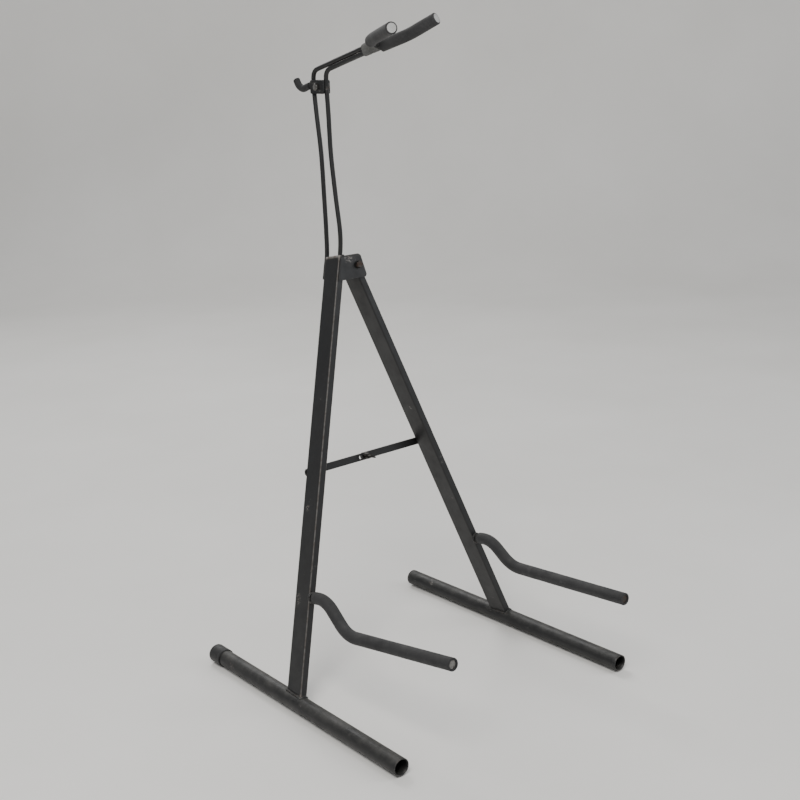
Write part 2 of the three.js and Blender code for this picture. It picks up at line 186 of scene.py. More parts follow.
def paint_material(name, chips=0.5, dust=0.3, rust=0.3, painted_highlight=0.0):
    """Satin black paint over steel: brush waves, chips to rust and metal, dust on top, and a painted corner
    highlight when the last argument is raised.
    """
    s = Shader(name)
    tone = s.mix(s.spread(s.noise(14, 5), 0.3, 0.7), (0.0032, 0.0033, 0.0037), (0.0075, 0.0076, 0.008))
    cloud = s.noise(38, 6, 0.62)
    speck = s.noise(520, 3, 0.6)
    # Edge chips; the last argument widens them into a painted highlight line along the corners, in the metal
    # colour.
    edge = s.math("MULTIPLY", s.edges(0.53 - 0.02 * painted_highlight, 0.6 - 0.06 * painted_highlight),
                  s.spread(s.noise(130, 5, 0.7), 0.5 - 0.2 * painted_highlight, 0.64 - 0.22 * painted_highlight))
    flake = s.math("MULTIPLY", s.spread(cloud, 0.69 - 0.05 * chips, 0.73), s.spread(speck, 0.5, 0.56))
    streak = s.noise(1, 3, 0.5, s.scaled((900, 900, 26), (0.05, 0.12, 0.3)))
    scratch = s.math("MULTIPLY", s.spread(streak, 0.73, 0.76), s.spread(s.noise(23, 3), 0.52, 0.66))
    # Chips, flakes and scratches, plus the painted corner highlight where it is set; all show the metal
    # colour below.
    chips_and_highlight = s.math("MAXIMUM", s.math("MAXIMUM", edge, flake), scratch)
    metal_and_highlight_tone = s.mix(s.spread(s.noise(210, 4), 0.42, 0.62),
                       (0.3, 0.29, 0.275), (0.2 - 0.1 * rust, 0.17 - 0.12 * rust, 0.15 - 0.12 * rust))
    powder = s.math("MULTIPLY", s.math("MULTIPLY", s.facing_up(), dust),
                    s.spread(s.noise(60, 6, 0.7), 0.3, 0.72))
    colour = s.mix(powder, s.mix(chips_and_highlight, tone, metal_and_highlight_tone), (0.17, 0.165, 0.15))
    rough = s.spread(s.noise(46, 6, 0.65), 0.3, 0.72, 0.36, 0.6)
    rough = s.math("ADD", rough, s.math("MULTIPLY", s.math("MAXIMUM", chips_and_highlight, powder), 0.3))
    orange_peel = s.bump(s.noise(760, 2, 0.5), 0.12, 0.0002)
    pits = s.bump(s.math("SUBTRACT", 1.0, chips_and_highlight), 0.45, 0.00012, orange_peel)
    return s.finish(colour, rough, s.math("MULTIPLY", chips_and_highlight, 0.55), pits)


def rubber_material(name, dark, light, rough=(0.68, 0.9), dust=0.25, grain=1500):
    """Matt rubber or foam sleeve: fine grain, scuffs along its length and pale dust."""
    s = Shader(name)
    tone = s.mix(s.spread(s.noise(22, 6, 0.6), 0.3, 0.7), dark, light)
    pores = s.noise(grain, 2, 0.6)
    scuff = s.math("MULTIPLY", s.spread(s.noise(70, 7, 0.72), 0.56, 0.7),
                   s.spread(s.noise(12, 2), 0.45, 0.62))
    grey = tuple(min(1.0, 2.3 * c + 0.008) for c in light)
    tone = s.mix(s.math("MULTIPLY", scuff, 0.55), tone, grey)
    tone = s.mix(s.math("MULTIPLY", s.spread(pores, 0.5, 0.8), 0.35), tone, grey)
    powder = s.math("MULTIPLY", s.math("MULTIPLY", s.facing_up(), dust),
                    s.spread(s.noise(48, 6, 0.7), 0.32, 0.7))
    tone = s.mix(powder, tone, (0.2, 0.195, 0.18))
    roughness = s.spread(s.noise(60, 5), 0.3, 0.7, *rough)
    waves = s.bump(s.noise(85, 4, 0.55), 0.22, 0.0009)
    grainy = s.bump(pores, 0.28, 0.00025, waves)
    return s.finish(tone, roughness, 0.0, grainy, Sheen_Weight=0.06, Sheen_Roughness=0.5)


def steel_material(name, rust=0.2, bright=0.3):
    """Dull plated steel: turned grain, stains and rust in the hollows."""
    s = Shader(name)
    grain = s.noise(1, 3, 0.6, s.scaled((260, 2600, 260)))
    tone = s.mix(s.spread(grain, 0.3, 0.7), (bright * 0.55,) * 3, (bright, bright * 0.97, bright * 0.9))
    stain = s.spread(s.noise(330, 6, 0.7), 0.62 - 0.3 * rust, 0.74 - 0.2 * rust)
    tone = s.mix(stain, tone, (0.055, 0.028, 0.017))
    grime = s.spread(s.noise(150, 5, 0.65), 0.45, 0.75)
    tone = s.mix(s.math("MULTIPLY", grime, 0.6), tone, (0.03, 0.028, 0.026))
    rough = s.math("ADD", s.spread(grain, 0.2, 0.8, 0.3, 0.5), s.math("MULTIPLY", stain, 0.35))
    metal = s.math("SUBTRACT", 0.9, s.math("MULTIPLY", stain, 0.6))
    return s.finish(tone, rough, metal, s.bump(s.noise(900, 4), 0.3, 0.00015))


def floor_material():
    s = Shader("studio_floor")
    tone = s.mix(s.spread(s.noise(2.2, 6), 0.3, 0.7), (0.84, 0.825, 0.79), (0.9, 0.885, 0.855))
    return s.finish(tone, 0.62, 0.0, s.bump(s.noise(240, 3), 0.05, 0.0005))


PAINT = paint_material("black_paint")
PAINT_WORN = paint_material("black_paint_worn", chips=1.5, dust=0.4, rust=0.6)
# Near leg's paint: more chips, and a painted highlight line along its corners.
PAINT_CHIPS_AND_HIGHLIGHT = paint_material("black_paint_chips_and_painted_highlight", chips=1.0, dust=0.25, rust=0.1, painted_highlight=1.0)
WELD = paint_material("painted_weld", chips=2.4, dust=0.25, rust=0.9)
SLEEVE = rubber_material("arm_sleeve", (0.011, 0.011, 0.012), (0.024, 0.024, 0.025), dust=0.15)
# Yoke sleeves: the arm sleeves' rubber made a little lighter, as painted sheen.
YOKE_COVER_PAINTED_SHEEN = rubber_material("yoke_sleeve", (0.013, 0.013, 0.014), (0.03, 0.03, 0.031), dust=0.2)
HOOK_COVER = rubber_material("hook_sleeve", (0.004, 0.004, 0.0045), (0.012, 0.012, 0.0125), dust=0.08)
# Yoke tip discs: light grey, made paler still as a painted highlight on faces turned away from the lamps.
TIP_PAINTED_HIGHLIGHT = rubber_material("sleeve_tip_painted_highlight", (0.3, 0.3, 0.295), (0.5, 0.5, 0.49), rough=(0.35, 0.5), dust=0.1)
CAP = rubber_material("foot_rubber", (0.004, 0.004, 0.0045), (0.011, 0.011, 0.0115), (0.5, 0.72), dust=0.12)
BINDING = rubber_material("grey_binding", (0.05, 0.051, 0.049), (0.12, 0.12, 0.116), dust=0.15, grain=900)
STEEL = steel_material("dull_steel")
RUSTY = steel_material("rusty_steel", rust=0.6, bright=0.07)
DARK_STEEL = steel_material("dark_steel", rust=0.25, bright=0.05)


# ---- mesh helpers ----
def make_object(name, verts, faces, material, smooth_angle=40):
    mesh = bpy.data.meshes.new(name)
    mesh.from_pydata([tuple(v) for v in verts], [], faces)
    mesh.validate()
    bm = bmesh.new()
    bm.from_mesh(mesh)
    bmesh.ops.remove_doubles(bm, verts=bm.verts, dist=1e-7)
    bmesh.ops.recalc_face_normals(bm, faces=bm.faces)
    bm.to_mesh(mesh)
    bm.free()
    for polygon in mesh.polygons:
        polygon.use_smooth = True
    mesh.set_sharp_from_angle(angle=math.radians(smooth_angle))
    mesh.materials.append(material)
    obj = bpy.data.objects.new(name, mesh)
    bpy.context.scene.collection.objects.link(obj)
    return obj


def loft(name, rings, material, start="cap", end="cap", closed=False, smooth_angle=40):
    """Skins rings of equal length. start and end are cap or open."""
    count = len(rings[0])
    verts = [p for ring in rings for p in ring]
    faces = []
    steps = len(rings) if closed else len(rings) - 1
    for i in range(steps):
        a, b = i * count, ((i + 1) % len(rings)) * count
        for j in range(count):
            k = (j + 1) % count
            faces.append((a + j, a + k, b + k, b + j))
    if not closed:
        if start == "cap":
            faces.append(tuple(reversed(range(count))))
        if end == "cap":
            faces.append(tuple(range(len(verts) - count, len(verts))))
    return make_object(name, verts, faces, material, smooth_angle)


def frames_along(points, closed=False):
    """Parallel-transported frames: a list of (point, side, up)."""
    count = len(points)
    tangents = []
    for i in range(count):
        before = points[i - 1] if (i > 0 or closed) else points[i]
        after = points[(i + 1) % count] if (i < count - 1 or closed) else points[i]
        tangents.append((after - before).normalized())
    reference = Vector((1, 0, 0))
    if abs(tangents[0].dot(reference)) > 0.9:
        reference = Vector((0, 1, 0))
    side = (reference - tangents[0] * reference.dot(tangents[0])).normalized()
    result = []
    for point, tangent in zip(points, tangents):
        side = (side - tangent * side.dot(tangent)).normalized()
        result.append((point, side, tangent.cross(side)))
    return result


def ring_at(place, r, sides):
    point, side, up = place
    return [point + (side * math.cos(2 * math.pi * k / sides) + up * math.sin(2 * math.pi * k / sides)) * r
            for k in range(sides)]


def straight(a, b, step):
    count = max(1, round((b - a).length / step))
    return [a.lerp(b, k / count) for k in range(count)]


def bent_path(corners, bend):
    """Straight runs joined by quadratic bends, as the frame's wires are."""
    step, arc_steps = 2.5 * MM, 14
    points, start = [], corners[0]
    for before, corner, after in zip(corners, corners[1:], corners[2:]):
        inner = corner + (before - corner).normalized() * bend
        outer = corner + (after - corner).normalized() * bend
        points += straight(start, inner, step)
        for k in range(arc_steps):
            t = k / arc_steps
            points.append(inner * (1 - t) ** 2 + corner * (2 * t * (1 - t)) + outer * t * t)
        start = outer
    return points + straight(start, corners[-1], step) + [corners[-1]]


def smooth_path(knots, per_span=12):
    """A centripetal Catmull-Rom curve through the knots."""
    padded = [knots[0] * 2 - knots[1], *knots, knots[-1] * 2 - knots[-2]]
    points = []
    for a, b, c, d in zip(padded, padded[1:], padded[2:], padded[3:]):
        t0, t1 = 0.0, math.sqrt((b - a).length)
        t2 = t1 + math.sqrt((c - b).length)
        t3 = t2 + math.sqrt((d - c).length)
        for k in range(per_span):
            t = t1 + (t2 - t1) * k / per_span
            ab = a * ((t1 - t) / (t1 - t0)) + b * ((t - t0) / (t1 - t0))
            bc = b * ((t2 - t) / (t2 - t1)) + c * ((t - t1) / (t2 - t1))
            cd = c * ((t3 - t) / (t3 - t2)) + d * ((t - t2) / (t3 - t2))
            abc = ab * ((t2 - t) / (t2 - t0)) + bc * ((t - t0) / (t2 - t0))
            bcd = bc * ((t3 - t) / (t3 - t1)) + cd * ((t - t1) / (t3 - t1))
            points.append(abc * ((t2 - t) / (t2 - t1)) + bcd * ((t - t1) / (t2 - t1)))
    return points + [knots[-1].copy()]


def part_of(path, start, end):
    """The stretch of a polyline between two lengths, measured from its start."""
    lengths = [0.0]
    for a, b in zip(path, path[1:]):
        lengths.append(lengths[-1] + (b - a).length)
    end = min(end, lengths[-1])

    def point_at(s):
        for i in range(len(path) - 1):
            if lengths[i + 1] >= s:
                return path[i].lerp(path[i + 1], (s - lengths[i]) / max(1e-12, lengths[i + 1] - lengths[i]))
        return path[-1].copy()

    inside = [p for p, s in zip(path, lengths) if start + 0.2 * MM < s < end - 0.2 * MM]
    return [point_at(start), *inside, point_at(end)]


def length_of(path):
    return sum((b - a).length for a, b in zip(path, path[1:]))


def rod(name, path, r, material, sides=24):
    """A drawn steel rod with softly broken edges at both ends and a trace of hand bending."""
    edge = 0.4 * MM
    places = frames_along(path)
    head, tail = places[0], places[-1]
    out_a = (path[0] - path[1]).normalized()
    out_b = (path[-1] - path[-2]).normalized()
    rings = [ring_at((head[0], head[1], head[2]), r - edge, sides),
             ring_at((head[0] - out_a * edge, head[1], head[2]), r, sides)]
    for place in places[1:-1]:
        wobble = 1 + 0.012 * noise.noise(place[0] * 90)
        rings.append(ring_at(place, r * wobble, sides))
    rings.append(ring_at((tail[0] - out_b * edge, tail[1], tail[2]), r, sides))
    rings.append(ring_at((tail[0], tail[1], tail[2]), r - edge, sides))
    return loft(name, rings, material, smooth_angle=50)


def sleeve(name, path, outer, inner, material, open_end=True, round_end=0.0, swell=0.03):
    """A soft sleeve pushed over a rod: uneven wall, rolled rims, and a closed or open far end."""
    sides = 40
    places = frames_along(path)
    rim = 0.9 * MM
    back = (path[0] - path[1]).normalized()
    ahead = (path[-1] - path[-2]).normalized()

    def shifted(place, along, amount):
        return (place[0] + along * amount, place[1], place[2])

    first, last = places[0], places[-1]
    rings = [ring_at(shifted(first, back, -3 * MM), inner, sides), ring_at(first, inner, sides),
             ring_at(first, outer - rim, sides)]
    for k in (0.35, 0.7, 1.0):
        rings.append(ring_at(shifted(first, back, -rim * (1 - math.cos(k * math.pi / 2))),
                             outer - rim + rim * math.sin(k * math.pi / 2), sides))
    end_round = max(rim, round_end)
    kept = [p for p in places[1:-1] if (p[0] - path[0]).length > 1.3 * rim
            and (p[0] - path[-1]).length > 1.1 * end_round]
    for point, side, up in kept:
        r = outer * (1 + swell * (noise.noise(point * 55) * 0.5 - 0.25))
        rings.append(ring_at((point, side, up), r, sides))
    for k in (1.0, 0.8, 0.6, 0.4, 0.2, 0.0):
        lift = end_round * (1 - math.sin((1 - k) * math.pi / 2))
        rings.append(ring_at(shifted(last, ahead, -lift),
                             outer - end_round + end_round * math.cos((1 - k) * math.pi / 2), sides))
    if open_end:
        rings.append(ring_at(last, inner, sides))
        rings.append(ring_at(shifted(last, ahead, -4 * MM), inner, sides))
        return loft(name, rings, material, "open", "open", smooth_angle=55)
    return loft(name, rings, material, "open", "cap", smooth_angle=55)


def weld_bead(name, path, r, material, closed=False, seed=0.0):
    """A hand-laid bead: overlapping ripples of uneven height along a joint."""
    ripple = 2.4 * MM
    places = frames_along(path, closed)
    rings, travelled = [], 0.0
    for i, (point, side, up) in enumerate(places):
        if i:
            travelled += (point - places[i - 1][0]).length
        wave = (travelled / ripple) % 1.0
        size = r * (0.82 + 0.22 * math.sqrt(wave) + 0.28 * noise.noise(point * 420 + Vector((seed, 0, 0))))
        if not closed:
            size *= min(1.0, 0.35 + 0.65 * min(i, len(places) - 1 - i) / 3)
        shift = Vector((noise.noise(point * 300), noise.noise(point * 310 + Vector((9, 0, 0))), 0)) * r * 0.35
        rings.append(ring_at((point + shift, side, up), size, 12))
    return loft(name, rings, material, closed=closed, smooth_angle=80)


def plate(name, outline, holes, thickness, place, material, edge=0.35 * MM):
    """A flat plate cut from an outline, with round holes and softly broken edges."""
    curve = bpy.data.curves.new(name, "CURVE")
    curve.dimensions, curve.fill_mode = "2D", "BOTH"
    curve.bevel_depth, curve.bevel_resolution = edge, 2
    curve.extrude, curve.offset = thickness / 2 - edge, -edge

    def add_loop(points):
        spline = curve.splines.new("POLY")
        spline.points.add(len(points) - 1)
        for point, (x, y) in zip(spline.points, points):
            point.co = (x, y, 0, 1)
        spline.use_cyclic_u = True

    add_loop(outline)
    for x, y, r in holes:
        add_loop([(x + r * math.cos(a), y + r * math.sin(a))
                  for a in (2 * math.pi * k / 24 for k in range(24))])
    holder = bpy.data.objects.new(name + "_outline", curve)
    bpy.context.scene.collection.objects.link(holder)
    mesh = bpy.data.meshes.new_from_object(holder.evaluated_get(bpy.context.evaluated_depsgraph_get()))
    bpy.data.objects.remove(holder)
    bpy.data.curves.remove(curve)
    mesh.name = name
    bm = bmesh.new()
    bm.from_mesh(mesh)
    flats = [face for face in bm.faces if abs(face.normal.z) > 0.99]
    bmesh.ops.inset_region(bm, faces=flats, thickness=0.6 * MM, use_even_offset=False)
    bm.to_mesh(mesh)
    bm.free()
    mesh.transform(place)
    mesh.materials.clear()
    mesh.materials.append(material)
    for polygon in mesh.polygons:
        polygon.use_smooth = True
    mesh.set_sharp_from_angle(angle=math.radians(35))
    obj = bpy.data.objects.new(name, mesh)
    bpy.context.scene.collection.objects.link(obj)
    return obj


def basis(origin, x_axis, y_axis, z_axis):
    return Matrix((
        (x_axis.x, y_axis.x, z_axis.x, origin.x),
        (x_axis.y, y_axis.y, z_axis.y, origin.y),
        (x_axis.z, y_axis.z, z_axis.z, origin.z),
        (0, 0, 0, 1)))


def arc(cx, cy, r, start, end, steps=8):
    return [(cx + r * math.cos(a), cy + r * math.sin(a))
            for a in (math.radians(start + (end - start) * k / steps) for k in range(steps + 1))]


def rounded_rect(w, h, r, steps=5):
    """The outline of a rounded rectangle, with extra points on its flats near the corners."""
    x, y = w / 2 - r, h / 2 - r
    corners = [arc(x, y, r, 0, 90, steps), arc(-x, y, r, 90, 180, steps),
               arc(-x, -y, r, 180, 270, steps), arc(x, -y, r, 270, 360, steps)]
    outline = []
    for corner, following in zip(corners, corners[1:] + corners[:1]):
        a, b = corner[-1], following[0]
        outline += corner
        outline += [(a[0] + (b[0] - a[0]) * t, a[1] + (b[1] - a[1]) * t)
                    for t in (0.06, 0.25, 0.5, 0.75, 0.94)]
    return outline


def refined(profile, step=0.9 * MM):
    """The same profile with no run longer than step."""
    result = []
    for a, b in zip(profile, profile[1:]):
        count = max(1, math.ceil(math.hypot(b[0] - a[0], b[1] - a[1]) / step))
        hexed = (a[2],) if len(a) > 2 and len(b) > 2 else ()
        result.append(a)
        result += [(a[0] + (b[0] - a[0]) * k / count, a[1] + (b[1] - a[1]) * k / count, *hexed)
                   for k in range(1, count)]
    return result + [profile[-1]]


def turned(name, profile, base, axis, material, sides=36, smooth_angle=35):
    """A turned piece: (radius, height) pairs along axis; a third number bends that ring to a hexagon."""
    reference = Vector((0, 0, 1)) if abs(axis.z) < 0.9 else Vector((1, 0, 0))
    side = axis.cross(reference).normalized()
    up = axis.cross(side)
    rings = []
    for r, h, *hexed in refined(profile):
        ring = []
        for k in range(sides):
            a = 2 * math.pi * k / sides
            reach = r
            if hexed:
                flat = math.cos(math.pi / 6) / math.cos((a + math.pi / 6) % (math.pi / 3) - math.pi / 6)
                reach = r * (1 + (flat - 1) * hexed[0])
            ring.append(base + axis * h + (side * math.cos(a) + up * math.sin(a)) * reach)
        rings.append(ring)
    return loft(name, rings, material, smooth_angle=smooth_angle)


def hex_head(name, r, height, base, axis, material, bore=0.0):
    """A hexagonal head or nut with chamfered corners; bore opens it through."""
    c = 0.5 * MM
    inner = max(bore, 0.01 * MM)
    profile = [(inner, 0), (r * 0.86, 0), (r * 0.97, c, 1), (r, 2 * c, 1), (r, height - 2 * c, 1),
               (r * 0.97, height - c, 1), (r * 0.84, height), (inner, height)]
    if bore:
        profile = [(bore, height), (bore, height * 0.5), *profile]
    return turned(name, profile, base, axis, material, sides=48, smooth_angle=28)


def merged(name, objects):
    """Joins several meshes into one piece, keeping each one's material."""
    bm = bmesh.new()
    mesh = bpy.data.meshes.new(name)
    for obj in objects:
        for material in obj.data.materials:
            if material.name not in [m.name for m in mesh.materials]:
                mesh.materials.append(material)
        slot = [m.name for m in mesh.materials].index(obj.data.materials[0].name)
        for polygon in obj.data.polygons:
            polygon.material_index = slot
        bm.from_mesh(obj.data)
        old = obj.data
        bpy.data.objects.remove(obj)
        bpy.data.meshes.remove(old)
    bm.to_mesh(mesh)
    bm.free()
    result = bpy.data.objects.new(name, mesh)
    bpy.context.scene.collection.objects.link(result)
    return result


def place_piece(obj, body, slot, *replaced):
    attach(obj, body)
    if replaced:
        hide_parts(*replaced)
    return obj


def tube(name, path, outer, inner, material):
    """An open tube with softly broken rims."""
    sides, edge = 64, 0.35 * MM
    places = frames_along(path)
    ahead, back = (path[-1] - path[-2]).normalized(), (path[0] - path[1]).normalized()
    rings = [ring_at(place, inner, sides) for place in reversed(places[2:-2:4])]
    rings += [ring_at((places[0][0] - back * edge, *places[0][1:]), inner, sides),
              ring_at(places[0], inner + edge, sides), ring_at(places[0], outer - edge, sides),
              ring_at((places[0][0] - back * edge, *places[0][1:]), outer, sides)]
    rings += [ring_at(place, outer * (1 - 0.006 * abs(noise.noise(place[0] * 40))), sides)
              for place in places[1:-1]]
    rings += [ring_at((places[-1][0] - ahead * edge, *places[-1][1:]), outer, sides),
              ring_at(places[-1], outer - edge, sides), ring_at(places[-1], inner + edge, sides)]
    return loft(name, rings, material, closed=True, smooth_angle=50)


# ---- feet ----
def bar_axis(word, y):
    turn = BAR[word][2]
    return at(SIDE[word] * HALF_TRACK + y * math.sin(turn), y * math.cos(turn), FOOT_R)


def bar_direction(word):
    return (bar_axis(word, 1) - bar_axis(word, 0)).normalized()


def foot_bar(word, material):
    front, rear = bar_axis(word, -BAR[word][0]), bar_axis(word, BAR[word][1] - CAP_END)
    path = straight(front, rear, 3 * MM) + [rear]
    bar = tube(f"{word}_foot_tube", path, FOOT_R, FOOT_R - FOOT_WALL, material)
    return place_piece(bar, f"{word}_side", "black_paint", f"{word}_foot_bar")


def foot_cap():
    inner, r = FOOT_R + GAP, CAP_R
    round_end = [(r - 2.2 * MM * (1 - math.cos(a)), CAP_LENGTH - 2.2 * MM * (1 - math.sin(a)))
                 for a in (math.pi / 2 * k / 6 for k in range(7))]
    lip = [(inner, 4 * MM), (inner, 0.4 * MM), (inner + 0.4 * MM, 0), (r - 0.5 * MM, 0),
           (r - 0.1 * MM, 0.4 * MM), (r, 1 * MM), (r, 4 * MM), (r - 0.15 * MM, 4.6 * MM),
           (r - 0.15 * MM, 6 * MM), (r, 6.6 * MM)]
    dimple = [(5 * MM, CAP_LENGTH), (3.2 * MM, CAP_LENGTH - 0.3 * MM), (0.1 * MM, CAP_LENGTH - 0.4 * MM)]
    base = bar_axis("near", BAR["near"][1] - CAP_LENGTH)
    cap = turned("near_foot_slip_cap", lip + round_end + dimple, base, bar_direction("near"), CAP, 64)
    return place_piece(cap, "near_side", "foot_rubber", "near_foot_cap")


def foot_plug():
    r, inner = FOOT_R, FOOT_R - FOOT_WALL - GAP
    ribs = [(inner - 0.9 * MM, -14 * MM), (inner, -13 * MM)]
    for k in range(3):
        y = (-12 + 4 * k) * MM
        ribs += [(inner, y), (inner - 0.7 * MM, y + 1 * MM),
                 (inner - 0.7 * MM, y + 2 * MM), (inner, y + 3 * MM)]
    flange = [(inner, GAP), (r - 0.3 * MM, GAP), (r, GAP + 0.3 * MM), (r, 1 * MM), (r - 0.3 * MM, 1.6 * MM),
              (r - 1 * MM, 2 * MM), (4 * MM, 1.9 * MM), (0.1 * MM, 1.8 * MM)]
    plug = turned("far_foot_end_plug", ribs + flange, bar_axis("far", BAR["far"][1] - CAP_END),
                  bar_direction("far"), CAP, 64)
    return place_piece(plug, "far_side", "foot_rubber", "far_foot_plug")


# ---- legs ----
def leg_frame(side):
    """The leg's direction and its width direction, in space."""
    return (PLANE_UP * math.cos(SPLAY) - PLANE_X * side * math.sin(SPLAY),
            PLANE_X * math.cos(SPLAY) + PLANE_UP * side * math.sin(SPLAY))


def leg_point(side, s, across, depth):
    along, width = leg_frame(side)
    return on_plane(side * HALF_TRACK, 0, 0) + along * s + width * across + PLANE_BACK * depth


def leg_tube(word, length, material):
    side = SIDE[word]
    outline = rounded_rect(LEG_W, LEG_D, LEG_CORNER, 6)
    hollow = rounded_rect(LEG_W - 2 * LEG_WALL, LEG_D - 2 * LEG_WALL, 0.8 * MM, 6)
    rim = rounded_rect(LEG_W - 0.6 * MM, LEG_D - 0.6 * MM, LEG_CORNER - 0.3 * MM, 6)
    start = 4.5 * MM
    stations = [start + (length - start) * k / 150 for k in range(151)]

    def section(points, s):
        ring = []
        for x, y in points:
            p = leg_point(side, s, x, y)
            dent = 0.09 * MM * noise.noise(p * 26)
            ring.append(p - PLANE_BACK * dent * (1 if y > 0 else -1))
        return ring

    rings = [section(outline, s) for s in stations[:-1]]
    rings += [section(outline, length - 0.4 * MM), section(rim, length), section(hollow, length)]
    rings += [section(hollow, s) for s in reversed(stations[:-1:10])]
    leg = loft(f"{word}_leg_tube", rings, material, closed=True, smooth_angle=50)
    return place_piece(leg, f"{word}_side", "black_paint", f"{word}_leg")


def leg_weld(word):
    """The bead round the foot of a leg, where it meets the round foot bar."""
    side, along, path = SIDE[word], bar_direction(word), []
    for x, y in rounded_rect(LEG_W + 1 * MM, LEG_D + 1 * MM, LEG_CORNER, 5):
        low, high = 0.0, 30 * MM
        for _ in range(30):
            s = (low + high) / 2
            p = leg_point(side, s, x, y) - bar_axis(word, 0)
            low, high = (s, high) if (p - along * p.dot(along)).length < FOOT_R else (low, s)
        path.append(leg_point(side, low, x, y))
    fine = []
    for a, b in zip(path, path[1:] + path[:1]):
        fine += straight(a, b, 0.45 * MM)
    bead = weld_bead(f"{word}_leg_weld", fine, 1.7 * MM, WELD, closed=True, seed=side)
    return place_piece(bead, f"{word}_side", "black_paint")


# ---- guitar arms ----
def arm_path(word):
    drop, rise, tip_y = REACH[word]
    x = SIDE[word] * leg_x(ARM_ROOT)
    root = on_plane(x, -LEG_D / 2 - GAP, ARM_ROOT)
    shoulder = on_plane(x, -LEG_D / 2 - ARM_SHOULDER, ARM_ROOT)
    low = (root - OFFSET).z - drop
    climb = (ARM_ELBOW_Y - tip_y) * math.tan(rise)
    return bent_path([root, shoulder, at(x, ARM_ELBOW_Y, low), at(x, tip_y, low + climb)], 17 * MM)


def arm(word, paint, end_material):
    path = arm_path(word)
    total = length_of(path)
    bar = rod(f"{word}_arm_bar", part_of(path, 0, total - 1.5 * MM), ARM_ROD_R, paint, sides=32)
    place_piece(bar, f"{word}_side", "black_paint", f"{word}_arm_rod")
    cover = sleeve(f"{word}_arm_cover", part_of(path, ARM_BARE, total), ARM_SLEEVE_R, ARM_ROD_R + 0.1 * MM,
                   SLEEVE, swell=0.035)
    place_piece(cover, f"{word}_side", "sleeve_rubber", f"{word}_arm_sleeve")
    ahead = (path[-1] - path[-2]).normalized()
    profile = [(ARM_ROD_R - 0.2 * MM, 0), (ARM_ROD_R - 0.6 * MM, 0.35 * MM), (0.2 * MM, 0.45 * MM)]
    face = turned(f"{word}_arm_cut_end", profile, path[-1] - ahead * 1.6 * MM, ahead, end_material, 40)
    place_piece(face, f"{word}_side", "bare_steel")
    outward = (path[1] - path[0]).normalized()
    up = PLANE_X.cross(outward)
    centre, r = path[0] + outward * 0.5 * MM, ARM_ROD_R + 0.3 * MM
    circle = [centre + (PLANE_X * math.cos(a) + up * math.sin(a)) * r
              for a in (2 * math.pi * k / 90 for k in range(90))]
    bead = weld_bead(f"{word}_arm_weld", circle, 1.9 * MM, WELD, closed=True, seed=3 + SIDE[word])
    place_piece(bead, f"{word}_side", "black_paint")


# ---- hinge ----
def hinge_point(x, y, z):
    return on_plane(HINGE_X + x, y, HINGE_V + z)


def hinge_bracket():
    """One strip of plate bent to a U over the leg tops."""
    face = LEG_D / 2 + GAP + PLATE / 2
    top, bottom, bend = 13.25 * MM, -17 * MM, 2.2 * MM

    def edges(y, z):
        """Left and right edge of the plate; the front cheek also covers the near leg."""
        leg_half, near_x = LEG_W / 2 / math.cos(SPLAY), -HINGE_X - leg_x(HINGE_V + z)
        left = near_x - leg_half + 1 * MM if y < -LEG_D / 2 else near_x + leg_half + GAP
        return left, 9.5 * MM - 0.2 * z - max(0.0, 3 * MM - (z - bottom)) - max(0.0, z - top + 2 * MM)

    half = [(face, bottom + (top - bend - bottom) * k / 40, 0.0) for k in range(41)]
    half += [(face - bend + bend * math.cos(a), top - bend + bend * math.sin(a), a)
             for a in (math.pi / 2 * k / 8 for k in range(1, 9))]
    half += [((face - bend) * (1 - k / 10), top, math.pi / 2) for k in range(1, 11)]
    line = half + [(-y, z, math.pi - a) for y, z, a in reversed(half[:-1])]
    rings = []
    for y, z, a in line:
        left, right = edges(y, z)
        ring = []
        for u, w in rounded_rect(right - left, PLATE, 0.5 * MM, 3):
            ring.append(hinge_point((left + right) / 2 + u, y + w * math.cos(a), z + w * math.sin(a)))
        rings.append(ring)
    bracket = loft("hinge_u_bracket", rings, PAINT_WORN, smooth_angle=40)
    return place_piece(bracket, "near_side", "black_paint", "hinge_bracket")


def hinge_fixings():
    face = LEG_D / 2 + GAP + PLATE + GAP
    front, rear = hinge_point(0, -face, 0), hinge_point(0, face, 0)
    head = hex_head("hinge_bolt_head", HINGE_HEAD, 4 * MM, front, -PLANE_BACK, RUSTY)
    shank = turned("hinge_bolt_shank", thread(3 * MM, 2 * face + 5 * MM, 2 * face + 6.7 * MM),
                   front, PLANE_BACK, STEEL, 32)
    place_piece(merged("hinge_pivot_bolt", [head, shank]), "near_side", "rusty_steel", "hinge_bolt")
    nut = hex_head("hinge_pivot_nut", HINGE_HEAD, 5 * MM, rear, PLANE_BACK, STEEL, bore=3.1 * MM)
    place_piece(nut, "near_side", "bare_steel", "hinge_nut")


def thread(r, start, end):
    """A bolt's profile with thread ridges over its last stretch."""
    pitch = 0.8 * MM
    profile = [(r - 0.1 * MM, 0), (r - 0.1 * MM, start - 6 * MM)]
    h = start - 6 * MM
    while h < end - pitch:
        profile += [(r - 0.35 * MM, h + 0.1 * pitch), (r, h + 0.5 * pitch), (r - 0.35 * MM, h + 0.9 * pitch)]
        h += pitch
    return profile + [(r - 0.5 * MM, end), (0.1 * MM, end)]


# ---- neck ----
NECK_FOOT = HINGE_V + 14.5 * MM


